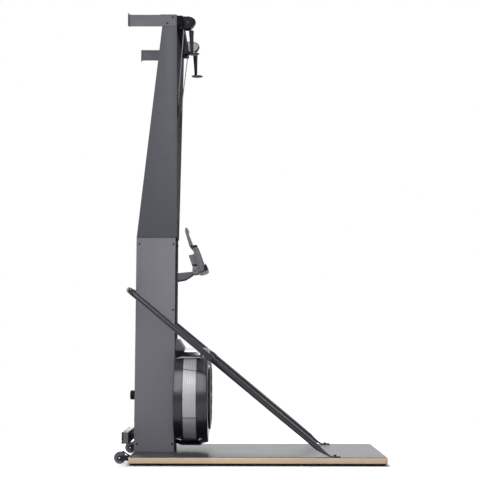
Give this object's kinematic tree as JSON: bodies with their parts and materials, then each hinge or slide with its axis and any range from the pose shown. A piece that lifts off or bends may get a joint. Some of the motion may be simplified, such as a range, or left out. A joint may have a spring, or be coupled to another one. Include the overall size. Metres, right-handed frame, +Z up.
{
  "type": "ski ergometer",
  "caption": "Tall pull trainer for ski strokes: flared column with overhead pulleys and handles, a fan with damper, a tilting monitor and a braced wooden platform.",
  "frame": {"origin": "middle of the bounding box on the floor", "axes": "+X to the front, where the user stands facing -X; +Y to the user's right; +Z up"},
  "size_m": [1.288, 0.6166, 2.1865],
  "materials": {
    "wood_board": "clear lacquered birch plywood with a pale edge",
    "grey_covering": "fine-grained grey non-slip covering",
    "black_rubber": "matt black rubber",
    "black_plastic": "fine-textured black moulding",
    "grey_plastic": "fine-textured grey moulding",
    "grey_paint": "satin grey powder coat",
    "dark_paint": "satin black powder coat",
    "bright_steel": "zinc-plated steel",
    "silver_mesh": "perforated silver sheet",
    "pale_cord": "braided pale grey cord",
    "screen_glass": "clear gloss lens over a grey display"
  },
  "bodies": {
    "frame": {"platform_board": "wood_board", "platform_mat": "grey_covering", "platform_underlay": "black_rubber", "rear_bumper_bar": "black_rubber", "shroud_top_cap": "black_plastic", "pulley_head_left": "black_plastic", "pulley_head_right": "black_plastic", "fan_clip_top_left": "black_plastic", "fan_clip_top_right": "black_plastic", "fan_clip_bottom": "black_plastic", "shaft_bearing_rear": "black_plastic", "fan_rear_ring": "black_plastic", "fan_front_ring": "black_plastic", "fan_front_cover": "black_plastic", "column_post": "grey_paint", "shroud_side_left": "grey_paint", "shroud_side_right": "grey_paint", "shroud_rear_panel": "grey_paint", "wall_bracket_left": "grey_paint", "wall_bracket_right": "grey_paint", "fan_gusset": "grey_paint", "monitor_arm": "grey_paint", "column_front_cover": "dark_paint", "shroud_front_panel": "dark_paint", "pulley_beam": "dark_paint", "brace_loop": "dark_paint", "brace_leg_left": "dark_paint", "brace_leg_right": "dark_paint", "wheel_bracket_left": "bright_steel", "wheel_bracket_right": "bright_steel", "wheel_axle_left": "bright_steel", "wheel_axle_right": "bright_steel", "pulley_axle_left": "bright_steel", "pulley_axle_right": "bright_steel", "fan_screen": "silver_mesh", "drive_cord_left": "pale_cord", "drive_cord_right": "pale_cord"},
    "wheel_left": {"transport_wheel_left": "black_plastic"},
    "wheel_right": {"transport_wheel_right": "black_plastic"},
    "handle_left": {"handle_grip_left": "black_rubber", "handle_guard_left": "black_rubber", "handle_cord_left": "pale_cord"},
    "handle_right": {"handle_grip_right": "black_rubber", "handle_guard_right": "black_rubber", "handle_cord_right": "pale_cord"},
    "pulley_left": {"cord_pulley_left": "black_plastic"},
    "pulley_right": {"cord_pulley_right": "black_plastic"},
    "drum_left": {"cord_drum_left": "black_plastic"},
    "drum_right": {"cord_drum_right": "black_plastic"},
    "fan": {"fan_shaft": "bright_steel", "fan_rotor": "grey_plastic"},
    "damper": {"damper_dial": "black_plastic"},
    "monitor": {"monitor_housing": "grey_plastic", "monitor_screen": "screen_glass", "monitor_rear_box": "grey_plastic", "device_shelf": "grey_plastic"},
    "device_holder": {"device_plate": "grey_plastic"},
    "button_1": {"monitor_button_1": "black_rubber"},
    "button_2": {"monitor_button_2": "black_rubber"},
    "button_3": {"monitor_button_3": "black_rubber"}
  },
  "joints": [
    {"name": "left_wheel_roll", "type": "hinge", "parent": "frame", "child": "wheel_left", "pos_m": [-0.6155, -0.215, 0.0285], "axis": [0, 1, 0], "continuous": true},
    {"name": "left_handle_pull", "type": "slide", "parent": "frame", "child": "handle_left", "axis": [0, 0, -1], "range_m": [0, 1.3], "stiffness_N_per_m": 12, "springref_m": -1, "deforming": ["handle_cord_left"]},
    {"name": "left_pulley_turn", "type": "hinge", "parent": "frame", "child": "pulley_left", "pos_m": [-0.3095, -0.2, 2.154], "axis": [0, 1, 0], "range_deg": [0, 4140]},
    {"name": "left_drum_turn", "type": "hinge", "parent": "frame", "child": "drum_left", "pos_m": [-0.5095, 0, 0.3095], "axis": [1, 0, 0], "range_deg": [0, 2485]},
    {"name": "right_wheel_roll", "type": "hinge", "parent": "frame", "child": "wheel_right", "pos_m": [-0.6155, 0.215, 0.0285], "axis": [0, 1, 0], "continuous": true},
    {"name": "right_handle_pull", "type": "slide", "parent": "frame", "child": "handle_right", "axis": [0, 0, -1], "range_m": [0, 1.3], "stiffness_N_per_m": 12, "springref_m": -1, "deforming": ["handle_cord_right"]},
    {"name": "right_pulley_turn", "type": "hinge", "parent": "frame", "child": "pulley_right", "pos_m": [-0.3095, 0.2, 2.154], "axis": [0, 1, 0], "range_deg": [0, 4140]},
    {"name": "right_drum_turn", "type": "hinge", "parent": "frame", "child": "drum_right", "pos_m": [-0.4775, 0, 0.3095], "axis": [1, 0, 0], "range_deg": [0, 2485]},
    {"name": "fan_spin", "type": "hinge", "parent": "frame", "child": "fan", "pos_m": [-0.3675, 0, 0.3095], "axis": [1, 0, 0], "continuous": true},
    {"name": "damper_turn", "type": "hinge", "parent": "frame", "child": "damper", "pos_m": [-0.1975, 0, 0.3095], "axis": [1, 0, 0], "range_deg": [0, 100]},
    {"name": "monitor_tilt", "type": "hinge", "parent": "frame", "child": "monitor", "pos_m": [-0.2755, 0, 0.924], "axis": [0, 1, 0], "range_deg": [-8, 15]},
    {"name": "device_holder_fold", "type": "hinge", "parent": "monitor", "child": "device_holder", "pos_m": [-0.2885, 0, 1.048], "axis": [0, 1, 0], "range_deg": [0, 25]},
    {"name": "button_1_press", "type": "slide", "parent": "monitor", "child": "button_1", "axis": [-0.9413, 0, -0.3376], "range_m": [0, 0.0015], "stiffness_N_per_m": 400, "springref_m": -0.0005},
    {"name": "button_2_press", "type": "slide", "parent": "monitor", "child": "button_2", "axis": [-0.9413, 0, -0.3376], "range_m": [0, 0.0015], "stiffness_N_per_m": 400, "springref_m": -0.0005},
    {"name": "button_3_press", "type": "slide", "parent": "monitor", "child": "button_3", "axis": [-0.9413, 0, -0.3376], "range_m": [0, 0.0015], "stiffness_N_per_m": 400, "springref_m": -0.0005}
  ],
  "couplings": [
    {"joint": "left_pulley_turn", "follows": "left_handle_pull", "rad_per_m": 55.556},
    {"joint": "left_drum_turn", "follows": "left_handle_pull", "rad_per_m": 33.333},
    {"joint": "right_pulley_turn", "follows": "right_handle_pull", "rad_per_m": 55.556},
    {"joint": "right_drum_turn", "follows": "right_handle_pull", "rad_per_m": 33.333}
  ]
}
